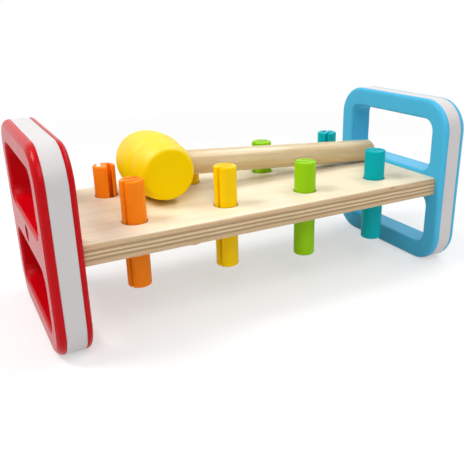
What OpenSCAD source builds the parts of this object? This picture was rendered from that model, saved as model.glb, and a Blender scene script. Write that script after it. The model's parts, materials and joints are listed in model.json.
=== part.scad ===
// Peg pounding bench: a plywood board on two end frames, eight split pegs and a hammer.
// Millimetres, +Z up, origin on the floor under the middle of the bench.
// +X runs from the red frame to the blue frame, -Y is the front.

/* [Bench board] */
// Clear length of the board between the two end frames
bench_span = 237; // [230:1:250]
// How far the long edges of the board lie inside the sides of the end frames
board_inset = 5.5; // [4:0.5:10]
// Thickness of the plywood
board_t = 12; // [10:0.5:14]
// Rounding along the long edges of the board
board_edge_r = 1.6; // [0.8:0.2:3]
// Rounding of the rims of the peg holes
hole_rim_r = 0.8; // [0.4:0.1:1.4]

/* [Pegs] */
// Distance of the outer columns of pegs from the end frames
end_margin = 34.5; // [28:0.5:38]
// Distance between the two rows of pegs
row_pitch = 56; // [53:0.5:62]
// Diameter of a peg
peg_d = 13.6; // [12:0.2:15]
// Length of a peg
peg_len = 62; // [58:1:62]
// Rounding of the ends of a peg
peg_end_r = 0.9; // [0.4:0.1:1.6]
// Width of the two slots that make the peg springy
slot_w = 2; // [1.2:0.1:2.4]
// Thickness of the web between the two slots
web_t = 3.2; // [2.4:0.1:4]
// Wall left behind the closed end of a slot
slot_back_t = 3; // [2:0.1:4.5]

/* [End frames] */
// Width of an end frame, front to back
frame_w = 112; // [108:1:120]
// Height of an end frame
frame_h = 114; // [114:1:126]
// Outer corner radius of an end frame
corner_r = 21; // [16:0.5:26]
// Width of the bars around the windows
bar_w = 13; // [10:0.5:15]
// Height of the crossbar that holds the board
crossbar_h = 17; // [16.5:0.5:22]
// Corner radius of the windows
window_r = 8; // [5:0.5:12]
// Rounding of the window edges on both faces
window_edge_r = 2; // [1:0.1:3]
// Rim thickness of the inner shell
inner_rim_t = 3.3; // [3:0.1:5]
// Width of the white band between the shells
band_t = 10.7; // [8:0.1:14]
// Rim thickness of the outer shell
outer_rim_t = 4.5; // [4:0.1:6]
// Radial wall of the white band
band_wall = 2.6; // [1.8:0.1:3.6]
// Rounding of the inner shell's rim
inner_edge_r = 2.8; // [1.5:0.1:3]
// Rounding of the outer shell's rim
outer_edge_r = 3.8; // [2:0.1:4]
// Depth of the socket that takes the end of the board
socket_depth = 9; // [7:0.5:11]

/* [Frame screws] */
// Diameter of the recess over the screw head
recess_d = 9.6; // [9:0.2:12]
// Depth of that recess from the outer face
recess_depth = 5.5; // [4:0.5:7]
// Diameter of the screw head
screw_head_d = 8; // [6:0.2:8.6]
// Height of the screw head
screw_head_h = 2.6; // [2:0.1:3.5]
// Diameter of the screw shank
screw_d = 4; // [3:0.1:5]
// Length of the screw shank
screw_len = 26; // [18:1:36]

/* [Hammer] */
// Length of the head from face to face
head_len = 53.6; // [46:0.2:56]
// Radius of the head at its belly, where the handle enters
belly_r = 19.6; // [18.8:0.1:20]
// Radius of the head at the shoulders behind the striking faces
lobe_r = 17.9; // [17.4:0.1:18.4]
// Distance of those shoulders from the middle of the head
lobe_at = 14.6; // [13:0.1:16]
// Radius of the arc that makes the belly
belly_arc_r = 20; // [14:0.5:24]
// Radius of the arcs that make the shoulders
lobe_arc_r = 25; // [22:0.5:30]
// Radius of the hollow arcs that make the slopes between them
neck_arc_r = 40; // [24:1:56]
// Rounding around the striking faces
face_edge_r = 2.6; // [1.5:0.1:3.6]
// Diameter of the wooden handle
handle_d = 15.7; // [13:0.1:16.6]
// Reach of the handle from the axis of the head to its tip
handle_reach = 170.5; // [130:0.5:172]
// Rounding of the tip of the handle
handle_tip_r = 3; // [1:0.5:6]
// Depth of the handle inside the head beyond the head's axis
handle_seat = 9; // [4:0.5:12]
// Wall of the lip around the handle's socket
lip_wall = 1; // [0.6:0.1:1.6]
// Height of that lip over the belly
lip_rise = 0.4; // [0.2:0.1:1.5]

/* [Fits] */
// Radial clearance of a peg in its hole
peg_clearance = 0.1; // [0.05:0.01:0.1]
// Clearance of fixed pieces in their seats
seat_clearance = 0.1; // [0.05:0.01:0.2]
// Air under the hammer where it lies on the board
rest_gap = 0.3; // [0.2:0.05:0.5]
// Side gap between the handle and the rear pegs
handle_side_gap = 1.2; // [0.6:0.1:3]
// Side gap between the head and the first rear peg
head_side_gap = 1.6; // [0.6:0.1:3]

/* [Hidden] */
$fn = 64;

// Overrun of every cut
cut = 1;
// A rounding cut into an edge meets both faces at a small angle, so its centre sits a little closer
edge_share = 0.97;
front = -1;
rear = 1;
red_end = -1;
blue_end = 1;

// Board
board_len = bench_span + 2 * socket_depth;
board_w = frame_w - 2 * board_inset;
board_mid = frame_h / 2;
board_top = board_mid + board_t / 2;
hole_d = peg_d + 2 * peg_clearance;
column_shares = [-1.5, -0.5, 0.5, 1.5];
column_pitch = (bench_span - 2 * end_margin) / (len(column_shares) - 1);

// Pegs: how far each stands up, as shares of its free travel, and how far it is turned
peg_travel = peg_len - board_t;
front_rise_shares = [0.476, 0.478, 0.386, 0.39];
rear_rise_shares = [0.388, 0.37, 0.428, 0.44];
front_turns = [6, 1, -52, -72];
rear_turns = [-99, -30, -16, -152];
slot_mid = (web_t + slot_w) / 2;
slot_chord = sqrt(peg_d * peg_d / 4 - slot_mid * slot_mid);

// End frames, measured outwards from the face that meets the board
frame_t = inner_rim_t + band_t + outer_rim_t;
window_w = frame_w - 2 * bar_w;
window_h = (frame_h - 2 * bar_w - crossbar_h) / 2;
window_mid = (crossbar_h + window_h) / 2;
tongue_inset = band_wall + seat_clearance;
band_edge_r = band_wall / 5;

// Screws
recess_floor = frame_t - recess_depth;
cross_share = 0.6;
cross_slot_w = screw_head_d / 8;
cross_slot_len = screw_head_d * cross_share;
cross_slot_depth = screw_head_h * cross_share;
screw_tip_h = screw_d / 4;

// Hammer
head_half = head_len / 2;
// Arcs of the outline cross by a little, so that they meet at a small angle
arc_cross_share = 0.0006;
arc_cross = neck_arc_r * arc_cross_share;
// Centres of the outline's arcs, as [distance from the head's axis, place along it]
belly_c = [belly_r - belly_arc_r, 0];
lobe_c = [lobe_r - lobe_arc_r, lobe_at];
to_belly = belly_arc_r + neck_arc_r - arc_cross;
to_lobe = lobe_arc_r + neck_arc_r - arc_cross;
neck_c = arc_between(belly_c, to_belly, lobe_c, to_lobe);
edge_at = head_half - face_edge_r;
to_edge = lobe_arc_r - face_edge_r + arc_cross;
edge_c = [lobe_c[0] + sqrt(pow(to_edge, 2) - pow(edge_at - lobe_at, 2)), edge_at];
// Places along the axis where one arc runs into the next
belly_end = belly_c[1] + (neck_c[1] - belly_c[1]) * belly_arc_r / to_belly;
neck_end = lobe_c[1] + (neck_c[1] - lobe_c[1]) * lobe_arc_r / to_lobe;
lobe_end = lobe_c[1] + (edge_c[1] - lobe_c[1]) * lobe_arc_r / to_edge;
handle_r = handle_d / 2;
hammer_drop = asin((belly_r - handle_r) / (handle_reach - handle_tip_r));
hammer_yaw = 0.5;
// The head lies between the first two columns, close to the first one
hammer_x = column_shares[0] * column_pitch + peg_d / 2 + head_side_gap + lobe_r;
tip_y = row_pitch / 2 - hole_d / 2 - handle_side_gap - handle_r;
hammer_y = tip_y - handle_reach * sin(hammer_yaw);
hammer_z = board_top + rest_gap + belly_r;

// Shared forms

module rounded_rect(w, h, r) {
    square([w - 2 * r, h], center = true);
    square([w, h - 2 * r], center = true);
    for (sx = [-1, 1], sy = [-1, 1])
        translate([sx * (w / 2 - r), sy * (h / 2 - r)])
            circle(r);
}

// Sweeps a profile round a rounded rectangle: profile x is the distance from the corner
// centre, profile y is the depth
module swept_round(w, h, r) {
    across = w - 2 * r;
    along = h - 2 * r;
    for (turn = [0, 180])
        rotate(turn) {
            translate([across / 2, along / 2, 0])
                rotate([90, 0, 0])
                    linear_extrude(along)
                        children();
            translate([-across / 2, along / 2, 0])
                rotate([90, 0, 90])
                    linear_extrude(across)
                        children();
            translate([across / 2, along / 2, 0])
                rotate_extrude(angle = 90)
                    children();
            translate([-across / 2, along / 2, 0])
                rotate(90)
                    rotate_extrude(angle = 90)
                        children();
        }
}

// Stands a frame piece, drawn flat with its depth along z, at one end of the bench
module at_end(end) {
    rotate(end == blue_end ? 0 : 180)
        translate([bench_span / 2, 0, board_mid])
            rotate([90, 0, 90])
                children();
}

// Bench board

module board_profile(gap) {
    rounded_rect(board_w + 2 * gap, board_t + 2 * gap, board_edge_r + gap);
}

module peg_hole() {
    cylinder(d = hole_d, h = board_t + 2 * cut, center = true);
    for (face = [0, 1])
        mirror([0, 0, face])
            translate([0, 0, board_t / 2])
                rotate_extrude()
                    hole_rim_profile();
}

// Rounded rim of a hole, with the board's face at y = 0
module hole_rim_profile() {
    centre = hole_rim_r * edge_share;
    translate([hole_d / 2, 0])
        difference() {
            translate([-cut, -centre])
                square([centre + cut, centre + cut]);
            translate([centre, -centre])
                circle(hole_rim_r);
        }
}

module screw_hole_in_board() {
    rotate([0, 90, 0])
        translate([0, 0, bench_span / 2 + recess_floor - screw_len - cut])
            cylinder(d = screw_d + 2 * seat_clearance, h = screw_len + cut);
}

module bench_board() {
    color("BlanchedAlmond")
        translate([0, 0, board_mid])
            difference() {
                translate([-board_len / 2, 0, 0])
                    rotate([90, 0, 90])
                        linear_extrude(board_len)
                            board_profile(0);
                for (column_share = column_shares, row = [front, rear])
                    translate([column_share * column_pitch, row * row_pitch / 2, 0])
                        peg_hole();
                for (turn = [0, 180])
                    rotate(turn)
                        screw_hole_in_board();
            }
}

// Pegs: an S section, made by two slots that open on opposite sides

module peg_blank_profile() {
    peg_r = peg_d / 2;
    square([peg_r - peg_end_r, peg_len]);
    translate([0, peg_end_r])
        square([peg_r, peg_len - 2 * peg_end_r]);
    for (y = [peg_end_r, peg_len - peg_end_r])
        translate([peg_r - peg_end_r, y])
            circle(peg_end_r);
}

module peg_slot() {
    closed_at = slot_back_t - slot_chord + slot_w / 2;
    translate([closed_at, slot_mid, -cut])
        linear_extrude(peg_len + 2 * cut) {
            circle(d = slot_w);
            translate([0, -slot_w / 2])
                square([peg_d, slot_w]);
        }
}

module peg(column, row, rise_share, turn) {
    translate([
        column_shares[column] * column_pitch,
        row * row_pitch / 2,
        board_top + peg_travel * rise_share - peg_len
    ])
        rotate(turn)
            difference() {
                rotate_extrude()
                    peg_blank_profile();
                for (side = [0, 180])
                    rotate(side)
                        peg_slot();
            }
}

module peg_orange_front() {
    color("DarkOrange") peg(0, front, front_rise_shares[0], front_turns[0]);
}

module peg_yellow_front() {
    color("Gold") peg(1, front, front_rise_shares[1], front_turns[1]);
}

module peg_green_front() {
    color("YellowGreen") peg(2, front, front_rise_shares[2], front_turns[2]);
}

module peg_teal_front() {
    color("DarkTurquoise") peg(3, front, front_rise_shares[3], front_turns[3]);
}

module peg_orange_rear() {
    color("DarkOrange") peg(0, rear, rear_rise_shares[0], rear_turns[0]);
}

module peg_yellow_rear() {
    color("Gold") peg(1, rear, rear_rise_shares[1], rear_turns[1]);
}

module peg_green_rear() {
    color("YellowGreen") peg(2, rear, rear_rise_shares[2], rear_turns[2]);
}

module peg_teal_rear() {
    color("DarkTurquoise") peg(3, rear, rear_rise_shares[3], rear_turns[3]);
}

// Hammer

// Centre of the arc that touches two others from outside, given the distances to their centres
function arc_between(a, to_a, b, to_b) =
    let (
        gap = norm(b - a),
        along = (to_a * to_a - to_b * to_b + gap * gap) / (2 * gap),
        aside = sqrt(to_a * to_a - along * along),
        dir = (b - a) / gap
    )
    a + along * dir + aside * [dir[1], -dir[0]];

// A band of the head's outline between two places along its axis
module slab(low, high, reach) {
    polygon([[0, low], [reach, low], [reach, high], [0, high]]);
}

// The head's outline from the end of the belly to a striking face
module head_end_profile() {
    difference() {
        slab(belly_end, neck_end, neck_c[0]);
        translate(neck_c)
            circle(neck_arc_r);
    }
    intersection() {
        slab(belly_end, lobe_end, lobe_r + cut);
        translate(lobe_c)
            circle(lobe_arc_r);
    }
    intersection() {
        slab(lobe_at, head_half, lobe_r + cut);
        union() {
            translate(edge_c)
                circle(face_edge_r);
            slab(0, head_half, edge_c[0]);
        }
    }
}

module head_profile() {
    $fn = 96;
    intersection() {
        slab(-neck_end, neck_end, belly_r + cut);
        translate(belly_c)
            circle(belly_arc_r);
    }
    for (side = [0, 1])
        mirror([0, side])
            head_end_profile();
}

module in_hammer() {
    translate([hammer_x, hammer_y, hammer_z])
        rotate(hammer_yaw)
            rotate([0, hammer_drop, 0])
                children();
}

module along_handle(from) {
    translate([from, 0, 0])
        rotate([0, 90, 0])
            children();
}

module hammer_head() {
    socket_d = handle_d + 2 * seat_clearance;
    socket_mouth = belly_r + lip_rise;
    color("Yellow")
        in_hammer()
            difference() {
                union() {
                    rotate([90, 180, 0])
                        rotate_extrude()
                            head_profile();
                    along_handle(0)
                        cylinder(d = socket_d + 2 * lip_wall, h = socket_mouth);
                }
                along_handle(-handle_seat)
                    cylinder(d = socket_d, h = handle_seat + socket_mouth + cut);
            }
}

module handle_profile() {
    length = handle_reach + handle_seat;
    square([handle_r, length - handle_tip_r]);
    square([handle_r - handle_tip_r, length]);
    translate([handle_r - handle_tip_r, length - handle_tip_r])
        circle(handle_tip_r);
}

module hammer_handle() {
    color("BurlyWood")
        in_hammer()
            along_handle(-handle_seat)
                rotate_extrude()
                    handle_profile();
}

// End frames

// Rim profile with its outer edge rounded at depth 0
module rim_profile(depth, edge_r) {
    translate([corner_r - edge_r, 0]) {
        translate([0, edge_r])
            square([edge_r, depth - edge_r]);
        intersection() {
            square(edge_r);
            translate([0, edge_r])
                circle(edge_r);
        }
    }
}

module rim_plate(depth, edge_r) {
    linear_extrude(depth)
        rounded_rect(frame_w - 2 * edge_r, frame_h - 2 * edge_r, corner_r - edge_r);
    swept_round(frame_w, frame_h, corner_r)
        rim_profile(depth, edge_r);
}

module tongue(depth) {
    linear_extrude(depth)
        rounded_rect(frame_w - 2 * tongue_inset, frame_h - 2 * tongue_inset, corner_r - tongue_inset);
}

// Cuts both windows, with their edges rounded at depth 0
module windows(depth) {
    centre = window_edge_r * edge_share;
    for (side = [-1, 1])
        translate([0, side * window_mid, 0]) {
            translate([0, 0, -cut])
                linear_extrude(depth + 2 * cut)
                    rounded_rect(window_w, window_h, window_r);
            swept_round(window_w, window_h, window_r)
                translate([window_r, 0])
                    difference() {
                        translate([-cut, -cut])
                            square(centre + cut);
                        translate([centre, centre])
                            circle(window_edge_r);
                    }
        }
}

module inner_shell() {
    difference() {
        union() {
            rim_plate(inner_rim_t, inner_edge_r);
            tongue(socket_depth);
        }
        windows(socket_depth);
        translate([0, 0, -cut])
            linear_extrude(socket_depth + 2 * cut)
                board_profile(seat_clearance);
    }
}

module outer_shell() {
    shell_depth = frame_t - socket_depth;
    translate([0, 0, frame_t])
        mirror([0, 0, 1])
            difference() {
                union() {
                    rim_plate(outer_rim_t, outer_edge_r);
                    tongue(shell_depth);
                }
                windows(shell_depth);
                translate([0, 0, -cut])
                    cylinder(d = recess_d, h = recess_depth + cut);
                translate([0, 0, -cut])
                    cylinder(d = screw_d + 2 * seat_clearance, h = shell_depth + 2 * cut);
            }
}

module rim_band() {
    straight = band_wall - band_edge_r;
    translate([0, 0, inner_rim_t])
        swept_round(frame_w, frame_h, corner_r)
            translate([corner_r - band_wall, 0]) {
                square([straight, band_t]);
                translate([0, band_edge_r])
                    square([band_wall, band_t - 2 * band_edge_r]);
                for (y = [band_edge_r, band_t - band_edge_r])
                    translate([straight, y])
                        circle(band_edge_r);
            }
}

// Half of the screw's outline, with the underside of its head at y = 0
module screw_profile() {
    head_r = screw_head_d / 2;
    crown_r = screw_head_h / 2;
    shank_r = screw_d / 2;
    square([head_r, screw_head_h - crown_r]);
    square([head_r - crown_r, screw_head_h]);
    translate([head_r - crown_r, screw_head_h - crown_r])
        circle(crown_r);
    polygon([
        [0, 0],
        [0, -screw_len],
        [shank_r - screw_tip_h / 2, -screw_len],
        [shank_r, screw_tip_h - screw_len],
        [shank_r, 0]
    ]);
}

module frame_screw() {
    translate([0, 0, recess_floor])
        difference() {
            rotate_extrude()
                screw_profile();
            for (turn = [0, 90])
                rotate(turn)
                    translate([-cross_slot_len / 2, -cross_slot_w / 2, screw_head_h - cross_slot_depth])
                        cube([cross_slot_len, cross_slot_w, cross_slot_depth + cut]);
        }
}

module red_inner_shell() {
    color("Crimson") at_end(red_end) inner_shell();
}

module red_rim_band() {
    color("White") at_end(red_end) rim_band();
}

module red_outer_shell() {
    color("Crimson") at_end(red_end) outer_shell();
}

module red_frame_screw() {
    color("Silver") at_end(red_end) frame_screw();
}

module blue_inner_shell() {
    color("SkyBlue") at_end(blue_end) inner_shell();
}

module blue_rim_band() {
    color("White") at_end(blue_end) rim_band();
}

module blue_outer_shell() {
    color("SkyBlue") at_end(blue_end) outer_shell();
}

module blue_frame_screw() {
    color("Silver") at_end(blue_end) frame_screw();
}

bench_board();
peg_orange_front();
peg_yellow_front();
peg_green_front();
peg_teal_front();
peg_orange_rear();
peg_yellow_rear();
peg_green_rear();
peg_teal_rear();
hammer_head();
hammer_handle();
red_inner_shell();
red_rim_band();
red_outer_shell();
red_frame_screw();
blue_inner_shell();
blue_rim_band();
blue_outer_shell();
blue_frame_screw();
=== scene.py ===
"""Looks of a peg pounding bench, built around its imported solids. Metres, +Z up, -Y is the front."""

import json
import math

import bpy
import numpy as np
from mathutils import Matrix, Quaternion, Vector


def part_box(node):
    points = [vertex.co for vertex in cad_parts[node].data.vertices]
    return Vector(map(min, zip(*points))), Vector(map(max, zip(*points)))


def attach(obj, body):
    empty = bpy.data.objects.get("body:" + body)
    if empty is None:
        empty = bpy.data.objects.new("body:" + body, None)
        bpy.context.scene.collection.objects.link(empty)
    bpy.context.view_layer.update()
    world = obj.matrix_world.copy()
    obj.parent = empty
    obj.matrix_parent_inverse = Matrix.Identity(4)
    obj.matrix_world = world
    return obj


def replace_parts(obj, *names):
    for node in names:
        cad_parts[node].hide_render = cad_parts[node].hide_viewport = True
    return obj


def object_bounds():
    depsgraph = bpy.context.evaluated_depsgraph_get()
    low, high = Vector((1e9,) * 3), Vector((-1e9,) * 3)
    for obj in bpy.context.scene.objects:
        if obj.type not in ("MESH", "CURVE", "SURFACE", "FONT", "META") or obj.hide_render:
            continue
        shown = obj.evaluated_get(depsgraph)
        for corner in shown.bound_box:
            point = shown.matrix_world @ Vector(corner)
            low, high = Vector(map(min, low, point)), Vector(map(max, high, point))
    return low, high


MM = 0.001

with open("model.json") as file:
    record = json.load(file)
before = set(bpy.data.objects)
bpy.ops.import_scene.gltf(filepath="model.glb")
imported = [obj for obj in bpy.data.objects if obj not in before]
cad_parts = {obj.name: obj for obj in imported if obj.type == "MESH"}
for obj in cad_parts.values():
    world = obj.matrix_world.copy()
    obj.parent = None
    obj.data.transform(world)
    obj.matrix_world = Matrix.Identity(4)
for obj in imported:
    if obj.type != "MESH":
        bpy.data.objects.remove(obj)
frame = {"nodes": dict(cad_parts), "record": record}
cad_low, cad_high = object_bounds()
nodes = frame["nodes"]
body_of_node = {n: b for b, members in frame["record"]["behaviour"]["bodies"].items() for n in members}
slot_of_node = {s["node"]: s["material_slot"] for s in frame["record"]["subparts"]}


# Colours

def srgb(red, green, blue):
    """A linear colour from screen values of 0 to 255."""
    def linear(value):
        v = value / 255
        return v / 12.92 if v <= 0.04045 else ((v + 0.055) / 1.055) ** 2.4
    return (linear(red), linear(green), linear(blue), 1.0)


def scaled(colour, share):
    """The same colour, lighter or darker by a share."""
    return tuple(min(1.0, c * share) for c in colour[:3]) + (1.0,)


# Building of node trees

# Where most values of a noise lie
NOISE_SPAN = (0.3, 0.7)


def add_node(tree, kind, inputs=None, **settings):
    """A shader node. An input is a plain value, or the output that feeds it."""
    made = tree.nodes.new("ShaderNode" + kind)
    for name, value in settings.items():
        setattr(made, name, value)
    for name, value in (inputs or {}).items():
        if isinstance(value, bpy.types.NodeSocket):
            tree.links.new(value, made.inputs[name])
        else:
            made.inputs[name].default_value = value
    return made


def math_node(tree, operation, a, b=0.0, c=0.0):
    return add_node(tree, "Math", {0: a, 1: b, 2: c}, operation=operation).outputs[0]


def mix(tree, share, a, b):
    """Mixes two colours, each a plain colour or an output."""
    made = add_node(tree, "Mix", {0: share, 6: a, 7: b}, data_type="RGBA")
    return made.outputs[2]


def between(tree, value, low, high, to_low=0.0, to_high=1.0):
    """A smooth step of a value from one range to another."""
    ranges = {"Value": value, "From Min": low, "From Max": high, "To Min": to_low, "To Max": to_high}
    return add_node(tree, "MapRange", ranges, interpolation_type="SMOOTHSTEP").outputs["Result"]


def between_linear(tree, value, low, high):
    """A straight step of a value from a range to 0 to 1."""
    return add_node(tree, "MapRange", {"Value": value, "From Min": low, "From Max": high}).outputs["Result"]


def stain(tree, colour, tone, pattern, low, high, share):
    """Mixes a tone into a colour, up to a share of it, where a pattern goes from low to high."""
    amount = math_node(tree, "MULTIPLY", between(tree, pattern, low, high), share)
    return mix(tree, amount, colour, tone)


def stretched(tree, coords, scale):
    """Coordinates times a scale of their own for each axis."""
    return add_node(tree, "Mapping", {"Vector": coords, "Scale": scale}).outputs["Vector"]


def noise(tree, coords, scale=1.0, detail=2.0, roughness=0.5):
    inputs = {"Vector": coords, "Scale": scale, "Detail": detail, "Roughness": roughness}
    return add_node(tree, "TexNoise", inputs).outputs["Fac"]


def wave(tree, coords, scale, distortion, detail_scale):
    """Bent bands across Y."""
    inputs = {"Vector": coords, "Scale": scale, "Distortion": distortion, "Detail": 3.0,
              "Detail Scale": detail_scale}
    return add_node(tree, "TexWave", inputs, wave_type="BANDS", bands_direction="Y").outputs["Fac"]


def normal_height(tree):
    """How far a surface faces up: 1 on top, 0 on walls, -1 underneath."""
    normal = add_node(tree, "NewGeometry").outputs["Normal"]
    return add_node(tree, "SeparateXYZ", {"Vector": normal}).outputs["Z"]


def new_material(name):
    """(material, tree, shader, object coordinates), with the object's own place in metres."""
    material = bpy.data.materials.new(name)
    material.use_nodes = True
    tree = material.node_tree
    coords = add_node(tree, "TexCoord").outputs["Object"]
    return material, tree, tree.nodes["Principled BSDF"], coords


def set_bump(tree, shader, height, strength, distance):
    made = add_node(tree, "Bump", {"Height": height, "Strength": strength, "Distance": distance})
    tree.links.new(made.outputs["Normal"], shader.inputs["Normal"])


def set_inputs(shader, **values):
    """Sets inputs of a shader, named with underscores for spaces."""
    for name, value in values.items():
        shader.inputs[name.replace("_", " ")].default_value = value


# Plastics

FLOW_DARK = 0.975
FLOW_LIGHT = 1.02
GLOSS_SPREAD = 0.015
SOAK_SHARE = 0.35
SOAK_LEAST = 0.15
# How far up a surface faces where the painted sheen of the tops starts and is full
TOP_SHEEN_SPAN = (0.05, 0.95)


def plastic(name, colour, roughness, specular, soak=0.0, coat=0.0, painted_top_sheen=None):
    """Moulded plastic: a faint flow pattern in the colour, a fine grain and slightly uneven gloss.

    Light goes in as deep as soak says. The tops can get a painted sheen: more specular where a surface faces
    up, standing in for light from overhead.
    """
    material, tree, shader, coords = new_material(name)
    flow = between(tree, noise(tree, coords, scale=26.0, detail=3.0), *NOISE_SPAN)
    tint = mix(tree, flow, scaled(colour, FLOW_DARK), scaled(colour, FLOW_LIGHT))
    tree.links.new(tint, shader.inputs["Base Color"])
    dullest, glossiest = roughness * (1 + GLOSS_SPREAD), roughness * (1 - GLOSS_SPREAD)
    gloss = noise(tree, coords, scale=30.0, detail=1.0)
    tree.links.new(between(tree, gloss, *NOISE_SPAN, glossiest, dullest), shader.inputs["Roughness"])
    shader.inputs["Specular IOR Level"].default_value = specular
    # Painted sheen: the specular level rises on upward faces, standing in for overhead light
    if painted_top_sheen:
        level = between(tree, normal_height(tree), *TOP_SHEEN_SPAN, specular, painted_top_sheen)
        tree.links.new(level, shader.inputs["Specular IOR Level"])
    set_inputs(shader, Coat_Weight=coat, Coat_Roughness=0.16)
    if soak:
        radius = [SOAK_LEAST + channel for channel in colour[:3]]
        set_inputs(shader, Subsurface_Weight=SOAK_SHARE, Subsurface_Scale=soak, Subsurface_Radius=radius)
    set_bump(tree, shader, noise(tree, coords, scale=2400.0, detail=1.0), strength=0.02, distance=0.03 * MM)
    return material


def peg_plastic(name, colour):
    return plastic(name, colour, roughness=0.34, specular=0.04, soak=1.5 * MM, coat=0.12)


# Woods

PLY_WANDER = 0.9 * MM
PLY_BLEND = 0.018
# Painted shade in the peg holes and on their rims, where the gap around each peg is in shadow
HOLE_SHADE_RIM = (0.25 * MM, 0.75 * MM)
HOLE_SHADE_SHARE = 0.85
# How far up a surface faces where the plies end and the face veneer starts
FACE_SPAN = (0.55, 0.9)


def veneer(tree, coords, pale, warm, dark):
    """(colour, fibres) of a birch face: long soft flames, fibres and short pores along X."""
    flame_coords = stretched(tree, coords, (3.2, 22.0, 6.0))
    flames = wave(tree, flame_coords, scale=1.1, distortion=9.0, detail_scale=0.9)
    clouds = noise(tree, stretched(tree, coords, (5.0, 26.0, 8.0)), detail=4.0)
    fibres = noise(tree, stretched(tree, coords, (22.0, 620.0, 90.0)), detail=4.0, roughness=0.6)
    pores = noise(tree, stretched(tree, coords, (130.0, 2100.0, 400.0)))
    colour = mix(tree, between(tree, clouds, 0.32, 0.72), pale, warm)
    colour = stain(tree, colour, warm, flames, 0.2, 0.95, share=0.3)
    colour = stain(tree, colour, dark, fibres, 0.45, 0.75, share=0.22)
    colour = stain(tree, colour, dark, pores, 0.64, 0.78, share=0.25)
    return colour, fibres


def fill_bands(ramp, bands, blend):
    """Sets a colour ramp to bands that end at the given shares, with a short blend from each to the next."""
    stops = [(0.0, bands[0][1])]
    for (end, colour), (_, following) in zip(bands, bands[1:]):
        stops += [(end - blend, colour), (end + blend, following)]
    stops.append((1.0, bands[-1][1]))
    while len(ramp.elements) < len(stops):
        ramp.elements.new(1.0)
    for element, (place, colour) in zip(ramp.elements, stops):
        element.position = place
        element.color = colour


def ply_edge(tree, coords, height):
    """(colour, streaks) of the board's edges: plies that are streaked and speckled and have voids."""
    low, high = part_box("bench_board")
    bent = noise(tree, stretched(tree, coords, (26.0, 26.0, 4.0)), detail=3.0)
    bent_height = math_node(tree, "ADD", height, math_node(tree, "MULTIPLY", bent, PLY_WANDER))
    depth = between_linear(tree, bent_height, low.z + PLY_WANDER / 2, high.z + PLY_WANDER / 2)
    plies = add_node(tree, "ValToRGB", {"Fac": depth})
    face_ply, cross_ply, long_ply = srgb(216, 186, 146), srgb(176, 146, 108), srgb(232, 208, 170)
    bands = ((0.235, face_ply), (0.345, cross_ply), (0.435, long_ply), (0.53, cross_ply),
             (0.64, long_ply), (0.755, cross_ply), (1.0, face_ply))
    fill_bands(plies.color_ramp, bands, PLY_BLEND)
    streaks = noise(tree, stretched(tree, coords, (30.0, 30.0, 1500.0)), detail=4.0, roughness=0.6)
    speckle = noise(tree, stretched(tree, coords, (900.0, 900.0, 1400.0)))
    voids = noise(tree, stretched(tree, coords, (55.0, 55.0, 420.0)), detail=1.0)
    colour = stain(tree, plies.outputs["Color"], srgb(160, 124, 84), streaks, 0.35, 0.75, share=0.4)
    colour = stain(tree, colour, srgb(150, 112, 74), speckle, 0.55, 0.8, share=0.3)
    colour = stain(tree, colour, srgb(84, 56, 34), voids, 0.755, 0.79, share=0.4)
    return colour, streaks


def painted_hole_shade(tree, place):
    """How much painted shade the board gets: most in the holes and on their rims, where the gap around each
    peg lies in shadow, found from the grid of pegs.
    """
    low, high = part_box("peg_green_front")
    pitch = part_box("peg_teal_front")[0].x - low.x
    middle = (low + high) / 2
    off_middle = math_node(tree, "SUBTRACT", place.outputs["X"], middle.x)
    across = math_node(tree, "WRAP", off_middle, pitch / 2, -pitch / 2)
    along = math_node(tree, "ADD", math_node(tree, "ABSOLUTE", place.outputs["Y"]), middle.y)
    flat = add_node(tree, "CombineXYZ", {"X": across, "Y": along}).outputs[0]
    reach = add_node(tree, "VectorMath", {0: flat}, operation="LENGTH").outputs["Value"]
    radius = (high.x - low.x) / 2
    inner, outer = HOLE_SHADE_RIM
    return between(tree, reach, radius + inner, radius + outer, HOLE_SHADE_SHARE, 0.0)


def plywood(name):
    """Birch plywood: pale faces, plies that show on the edges, and painted shade in and around the peg
    holes.
    """
    material, tree, shader, coords = new_material(name)
    face, fibres = veneer(tree, coords, srgb(245, 235, 211), srgb(238, 223, 192), srgb(200, 170, 128))
    place = add_node(tree, "SeparateXYZ", {"Vector": coords})
    edge, streaks = ply_edge(tree, coords, place.outputs["Z"])
    on_face = between(tree, math_node(tree, "ABSOLUTE", normal_height(tree)), *FACE_SPAN)
    wood = mix(tree, on_face, edge, face)
    # Painted shade: the board turns dark brown in the holes and on their rims
    wood = mix(tree, painted_hole_shade(tree, place), wood, srgb(58, 36, 22))
    tree.links.new(wood, shader.inputs["Base Color"])
    tree.links.new(between(tree, fibres, *NOISE_SPAN, 0.42, 0.54), shader.inputs["Roughness"])
    set_inputs(shader, Specular_IOR_Level=0.35)
    relief = math_node(tree, "ADD", math_node(tree, "MULTIPLY", fibres, on_face), streaks)
    set_bump(tree, shader, relief, strength=0.14, distance=0.12 * MM)
    return material


def long_axis(node):
    """(centre, rotation) of a node whose local X is to run along its longest way."""
    points = np.array([v.co for v in nodes[node].data.vertices], float)
    centre = points.mean(0)
    way = np.linalg.svd(points - centre, full_matrices=False)[2][0]
    way = Vector(way if way[0] > 0 else -way)
    return tuple(centre), tuple(way.to_track_quat("X", "Z").to_euler())


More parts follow.
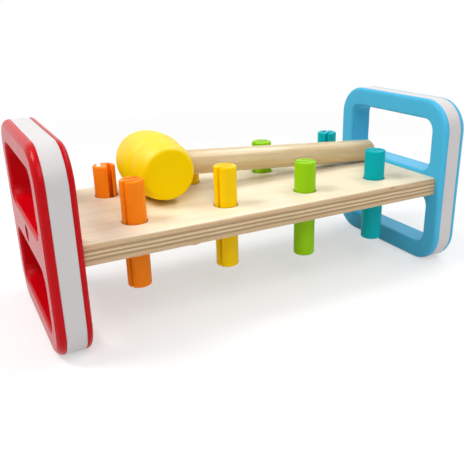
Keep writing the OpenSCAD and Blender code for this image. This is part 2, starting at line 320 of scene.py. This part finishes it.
def dowel_wood(name, node):
    """Lacquered beech dowel: fibres, flecks and soft growth rings along the dowel's own axis."""
    material, tree, shader, coords = new_material(name)
    centre, turn = long_axis(node)
    local = add_node(tree, "Mapping", {"Vector": coords, "Location": centre, "Rotation": turn},
                     vector_type="TEXTURE").outputs["Vector"]
    pale, warm, dark = srgb(225, 204, 163), srgb(202, 169, 118), srgb(155, 114, 68)
    ring_coords = stretched(tree, local, (5.0, 120.0, 120.0))
    rings = wave(tree, ring_coords, scale=0.6, distortion=5.0, detail_scale=1.2)
    clouds = noise(tree, stretched(tree, local, (14.0, 90.0, 90.0)), detail=4.0)
    fibres = noise(tree, stretched(tree, local, (40.0, 1300.0, 1300.0)), detail=4.0, roughness=0.6)
    flecks = noise(tree, stretched(tree, local, (260.0, 2600.0, 2600.0)))
    colour = mix(tree, between(tree, clouds, 0.35, 0.7), pale, warm)
    colour = stain(tree, colour, warm, rings, 0.25, 0.95, share=0.5)
    colour = stain(tree, colour, dark, fibres, 0.45, 0.75, share=0.3)
    colour = stain(tree, colour, dark, flecks, 0.6, 0.75, share=0.35)
    tree.links.new(colour, shader.inputs["Base Color"])
    tree.links.new(between(tree, fibres, *NOISE_SPAN, 0.36, 0.5), shader.inputs["Roughness"])
    set_inputs(shader, Specular_IOR_Level=0.4, Coat_Weight=0.7, Coat_Roughness=0.11)
    set_bump(tree, shader, fibres, strength=0.12, distance=0.1 * MM)
    return material


# Steel

def plated_steel(name):
    """Zinc-plated steel with fine turning marks."""
    material, tree, shader, coords = new_material(name)
    marks = noise(tree, stretched(tree, coords, (200.0, 3000.0, 3000.0)), detail=3.0)
    tree.links.new(mix(tree, marks, srgb(150, 150, 152), srgb(206, 206, 204)), shader.inputs["Base Color"])
    tree.links.new(between(tree, marks, *NOISE_SPAN, 0.26, 0.42), shader.inputs["Roughness"])
    set_inputs(shader, Metallic=1.0)
    set_bump(tree, shader, marks, strength=0.08, distance=0.05 * MM)
    return material


materials = {
    "plywood": plywood("birch_plywood"),
    "handle_wood": dowel_wood("beech_dowel", "hammer_handle"),
    # The head's upward faces get a painted sheen
    "hammer_yellow": plastic("hammer_yellow", srgb(254, 216, 0), roughness=0.5, specular=0.04,
                             soak=2.0 * MM, painted_top_sheen=0.9),
    "orange_plastic": peg_plastic("peg_orange", srgb(255, 138, 18)),
    "yellow_plastic": peg_plastic("peg_yellow", srgb(255, 206, 0)),
    "green_plastic": peg_plastic("peg_green", srgb(152, 208, 14)),
    "teal_plastic": peg_plastic("peg_teal", srgb(0, 174, 184)),
    "red_plastic": plastic("frame_red", srgb(196, 0, 14), roughness=0.26, specular=0.12),
    "blue_plastic": plastic("frame_blue", srgb(76, 186, 226), roughness=0.28, specular=0.14),
    "white_plastic": plastic("band_white", srgb(213, 209, 209), roughness=0.34, specular=0.26),
    "screw_steel": plated_steel("screw_steel"),
}


# Pieces

WELD_REACH = 0.002 * MM


def weld(piece):
    """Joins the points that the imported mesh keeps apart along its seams."""
    piece.modifiers.new("weld", "WELD").merge_threshold = WELD_REACH


def dress(node):
    """Gives a solid its material."""
    piece = nodes[node]
    piece.data.materials.clear()
    piece.data.materials.append(materials[slot_of_node[node]])
    weld(piece)


def stand_in(node, name, mesh):
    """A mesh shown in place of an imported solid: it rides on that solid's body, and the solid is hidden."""
    piece = bpy.data.objects.new(name, mesh)
    bpy.context.scene.collection.objects.link(piece)
    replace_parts(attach(piece, body_of_node[node]), node)
    return piece


# Pegs: an S section with soft edges all round its ends and slots

SLOT_W = 1.5 * MM
# The rear orange peg stands a little open in the photo
SPRUNG_SLOT_W = 2.4 * MM
SPRUNG_PEGS = ("peg_orange_rear",)
WEB_T = 3.4 * MM
SLOT_BACK_T = 3.0 * MM
NEAR_LIP_R = 0.6 * MM
FAR_LIP_R = 0.9 * MM
PEG_EDGE_R = 1.0 * MM
# Share of that edge that the slots have
SLOT_EDGE_SHARE = 0.3
# Share of a peg's radius from which a point counts as on its outside
OUTSIDE_SHARE = 0.985
WALL_STEPS = 44
SLOT_END_STEPS = 13
NEAR_LIP_STEPS = 4
FAR_LIP_STEPS = 6
EDGE_STEPS = 6


def soft_corner(start, corner, end, steps):
    """Points of a rounded corner, without its start and end."""
    shares = np.linspace(0, 1, steps + 2)[1:-1, None]
    return (1 - shares) ** 2 * start + 2 * shares * (1 - shares) * corner + shares ** 2 * end


def circle_points(radius, start, end, steps):
    angles = np.linspace(start, end, steps)
    return radius * np.stack([np.cos(angles), np.sin(angles)], 1)


def peg_section(radius, slot_w):
    """(section, shares, mouth): the section counter-clockwise, each point's share of the end rounding,
    and the angle of a slot's mouth."""
    half, mid = slot_w / 2, (WEB_T + slot_w) / 2
    near, far = mid - half, mid + half
    closed = SLOT_BACK_T - math.sqrt(radius ** 2 - mid ** 2) + half
    near_lip = -np.array([math.sqrt(radius ** 2 - near ** 2), near])
    far_lip = -np.array([math.sqrt(radius ** 2 - far ** 2), far])
    near_at, far_at = math.asin(near / radius), math.asin(far / radius)
    wall_start = far_at + FAR_LIP_R / radius
    wall_end = math.pi + near_at - NEAR_LIP_R / radius
    wall = circle_points(radius, wall_start, wall_end, WALL_STEPS)
    into = near_lip + (NEAR_LIP_R, 0)
    slot_end = circle_points(half, math.pi / 2, -math.pi / 2, SLOT_END_STEPS) - (closed, mid)
    out_of = far_lip + (FAR_LIP_R, 0)
    turn_in = soft_corner(wall[-1], near_lip, into, NEAR_LIP_STEPS)
    turn_out = soft_corner(out_of, far_lip, -wall[0], FAR_LIP_STEPS)
    side = np.vstack([wall, turn_in, into, slot_end, out_of, turn_out])
    in_slot = len(slot_end) + 2
    shares = np.concatenate([np.ones(len(wall)),
                             np.linspace(1, SLOT_EDGE_SHARE, len(turn_in)),
                             np.full(in_slot, SLOT_EDGE_SHARE),
                             np.linspace(SLOT_EDGE_SHARE, 1, len(turn_out))])
    return np.vstack([side, -side]), np.tile(shares, 2), (near_at + far_at) / 2


def inset(loop, distances):
    """A closed counter-clockwise loop, each point moved inwards by its own distance."""
    ahead = np.roll(loop, -1, 0) - loop
    ahead /= np.linalg.norm(ahead, axis=1, keepdims=True)
    inward = np.stack([-ahead[:, 1], ahead[:, 0]], 1)
    both = inward + np.roll(inward, 1, 0)
    both /= np.linalg.norm(both, axis=1, keepdims=True)
    return loop + both * distances[:, None]


def prism(name, loop, low, high, edges):
    """A mesh of a section between two heights, with its end edges rounded, each point by its own radius."""
    angles = np.linspace(0, math.pi / 2, EDGE_STEPS)
    rings = [(inset(loop, edges * (1 - math.cos(a))), edges * (1 - math.sin(a))) for a in angles]
    lower = [np.column_stack([ring, low + depth]) for ring, depth in reversed(rings)]
    upper = [np.column_stack([ring, high - depth]) for ring, depth in rings]
    levels = lower + upper
    count = len(loop)
    points = np.vstack(levels)
    faces = [tuple(range(count))[::-1], tuple(range(len(points) - count, len(points)))]
    for level in range(len(levels) - 1):
        for i in range(count):
            a, b = level * count + i, level * count + (i + 1) % count
            faces.append((a, b, b + count, a + count))
    mesh = bpy.data.meshes.new(name)
    mesh.from_pydata(points.tolist(), [], faces)
    mesh.shade_smooth()
    for cap in mesh.polygons[:2]:
        cap.use_smooth = False
    return mesh


def make_peg(node):
    """A soft-edged peg in the place and turn of a packed one."""
    low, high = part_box(node)
    centre = np.array((low + high) / 2)[:2]
    flat = np.array([v.co for v in nodes[node].data.vertices], float)[:, :2] - centre
    reach = np.hypot(flat[:, 0], flat[:, 1])
    radius = reach.max()
    slot_w = SPRUNG_SLOT_W if node in SPRUNG_PEGS else SLOT_W
    section, shares, mouth = peg_section(radius, slot_w)
    outside = flat[reach > OUTSIDE_SHARE * radius]
    angles = np.sort(np.arctan2(outside[:, 1], outside[:, 0]))
    gaps = np.diff(np.append(angles, angles[0] + 2 * math.pi))
    widest = gaps.argmax()
    turn = angles[widest] + gaps[widest] / 2 - mouth
    way = np.array([[math.cos(turn), math.sin(turn)], [-math.sin(turn), math.cos(turn)]])
    name = node + "_soft"
    mesh = prism(name, section @ way + centre, low.z, high.z, PEG_EDGE_R * shares)
    mesh.materials.append(materials[slot_of_node[node]])
    stand_in(node, name, mesh)


# Hammer head: a full belly that runs evenly to the front shoulder and to the rear face

# Points of the head further than this from its axis can be on its skin, and others can't
SKIN_R = 15 * MM
FRONT_FLAT = 2.5 * MM
FRONT_ARC_R = 18 * MM
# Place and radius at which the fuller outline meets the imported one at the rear
REAR_MEET = 23 * MM
REAR_MEET_R = 16.43 * MM
REAR_POWER = 2.6
# A face looks along the axis, and a corner away from it, from these shares up
FACE_ALIGNED = 0.9999
SKIN_ALIGNED = 0.75
END_REACH = 0.01 * MM


def head_axes(mesh, points):
    """(axis to the front, centre) of the head, from its two flat striking faces."""
    axis = Vector()
    for face in mesh.polygons:
        if abs(face.normal.y) > FACE_ALIGNED:
            axis -= face.normal * face.area * math.copysign(1, face.normal.y)
    axis = np.array(axis.normalized())
    along = points @ axis
    ends = points[(along < along.min() + END_REACH) | (along > along.max() - END_REACH)]
    return axis, (ends.min(0) + ends.max(0)) / 2


def full_outline(along, belly_r):
    """(radius, slope) of the fuller outline at places along the axis, the front positive."""
    past_flat = np.maximum(along - FRONT_FLAT, 0)
    share = np.maximum(-along, 0) / REAR_MEET
    fall = belly_r - REAR_MEET_R
    radius = belly_r - past_flat ** 2 / (2 * FRONT_ARC_R) - fall * share ** REAR_POWER
    slope = fall * REAR_POWER / REAR_MEET * share ** (REAR_POWER - 1) - past_flat / FRONT_ARC_R
    return radius, slope


def make_head(node):
    """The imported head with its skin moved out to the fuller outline, its socket and faces as they are."""
    mesh = nodes[node].data.copy()
    points = np.array([v.co for v in mesh.vertices], float)
    axis, centre = head_axes(mesh, points)
    along = (points - centre) @ axis
    aside = points - centre - along[:, None] * axis
    reach = np.linalg.norm(aside, axis=1)
    out = aside / np.maximum(reach, MM)[:, None]
    low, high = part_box(node)
    radius, slope = full_outline(along, (high.z - low.z) / 2)
    moved = (reach > SKIN_R) & (radius > reach)
    normals = np.array([n.vector for n in mesh.corner_normals], float)
    corners = np.array([loop.vertex_index for loop in mesh.loops])
    turned = moved[corners] & ((normals * out[corners]).sum(1) > SKIN_ALIGNED)
    smooth = out - slope[:, None] * axis
    smooth /= np.linalg.norm(smooth, axis=1, keepdims=True)
    normals[turned] = smooth[corners[turned]]
    points[moved] += out[moved] * (radius - reach)[moved, None]
    mesh.vertices.foreach_set("co", points.ravel())
    mesh.normals_split_custom_set(normals.tolist())
    weld(stand_in(node, node + "_full", mesh))


for name in nodes:
    dress(name)
    if name.startswith("peg_"):
        make_peg(name)
make_head("hammer_head")


# Stage: a pale floor, a white surround and soft lamps

WHITE = (1, 1, 1, 1)
PAPER_DARK = (0.78, 0.78, 0.78, 1)
PAPER_LIGHT = (0.8, 0.8, 0.8, 1)
# Distances from the origin over which the floor's shadow fades out
SHADOW_FADE = (0.3, 0.75)
SENSOR_W = 36.0


def seen_directly(tree):
    """1 where the camera sees a surface, itself or in a reflection or through glass."""
    path = add_node(tree, "LightPath")
    seen = math_node(tree, "MAXIMUM", path.outputs["Is Camera Ray"], path.outputs["Is Glossy Ray"])
    return math_node(tree, "MAXIMUM", seen, path.outputs["Is Transmission Ray"])


def make_world(level, overhead):
    """A white surround whose light grows from the horizon to overhead."""
    world = bpy.data.worlds.new("studio")
    world.use_nodes = True
    tree = world.node_tree
    surround = tree.nodes["Background"]
    surround.inputs["Color"].default_value = WHITE
    way = add_node(tree, "TexCoord").outputs["Generated"]
    up = add_node(tree, "SeparateXYZ", {0: way}).outputs["Z"]
    sky = between(tree, up, 0.0, 1.0, level, overhead)
    strength = add_node(tree, "MapRange", {"Value": seen_directly(tree), "To Min": sky, "To Max": 1.0})
    tree.links.new(strength.outputs["Result"], surround.inputs["Strength"])
    bpy.context.scene.world = world


def make_floor(half_width, shadow_share):
    """A floor that the camera sees as white with soft shadows, and other rays as plain paper."""
    mesh = bpy.data.meshes.new("floor")
    corners = [(sx * half_width, sy * half_width, 0) for sx, sy in ((-1, -1), (1, -1), (1, 1), (-1, 1))]
    mesh.from_pydata(corners, [], [(0, 1, 2, 3)])
    floor = bpy.data.objects.new("floor", mesh)
    bpy.context.scene.collection.objects.link(floor)
    material, tree, shader, coords = new_material("floor_paper")
    tree.nodes.remove(shader)
    output = tree.nodes["Material Output"]
    paper = mix(tree, noise(tree, coords, scale=60.0), PAPER_DARK, PAPER_LIGHT)
    plain = add_node(tree, "BsdfDiffuse", {"Color": paper})
    far_out = add_node(tree, "VectorMath", {0: coords}, operation="LENGTH").outputs["Value"]
    share = between(tree, far_out, *SHADOW_FADE, shadow_share, 0.0)
    shaded = add_node(tree, "BsdfDiffuse", {"Color": share})
    rest = math_node(tree, "SUBTRACT", 1.0, share)
    glow = add_node(tree, "Emission", {"Color": WHITE, "Strength": rest})
    shown = add_node(tree, "AddShader", {0: shaded.outputs[0], 1: glow.outputs[0]})
    parts = {0: seen_directly(tree), 1: plain.outputs[0], 2: shown.outputs[0]}
    either = add_node(tree, "MixShader", parts)
    tree.links.new(either.outputs[0], output.inputs["Surface"])
    mesh.materials.append(material)


def make_lamp(name, place, width, height, power):
    """A soft oval lamp that looks at the middle of the bench."""
    data = bpy.data.lights.new(name, "AREA")
    data.shape = "ELLIPSE"
    data.size = width
    data.size_y = height
    data.energy = power
    lamp = bpy.data.objects.new(name, data)
    lamp.location = place
    target = (cad_low + cad_high) / 2
    lamp.rotation_euler = (target - Vector(place)).to_track_quat("-Z", "Y").to_euler()
    bpy.context.scene.collection.objects.link(lamp)


def make_camera(place, forward, roll, lens, shift):
    data = bpy.data.cameras.new("camera")
    data.sensor_width = SENSOR_W
    data.lens = lens
    data.shift_x, data.shift_y = shift
    camera = bpy.data.objects.new("camera", data)
    camera.location = place
    camera.rotation_mode = "QUATERNION"
    camera.rotation_quaternion = Vector(forward).to_track_quat("-Z", "Y") @ Quaternion((0, 0, 1), roll)
    bpy.context.scene.collection.objects.link(camera)
    bpy.context.scene.camera = camera


make_world(level=0.22, overhead=0.42)
make_floor(half_width=6.0, shadow_share=0.5)
make_lamp("key", place=(-0.62, 0.18, 0.9), width=0.4, height=0.4, power=5.2)
make_lamp("fill", place=(-0.3, -0.9, 1.1), width=0.9, height=0.9, power=7.0)
make_lamp("strip", place=(0.48, -0.02, 0.8), width=1.1, height=0.22, power=3.0)
# The camera was fitted to the photo
make_camera(place=(-0.17413, -0.33207, 0.17401), forward=(0.4558, 0.8193, -0.3479),
            roll=math.radians(-0.6), lens=46.22, shift=(-0.0603, -0.0129))

bpy.context.scene.view_settings.view_transform = "Standard"
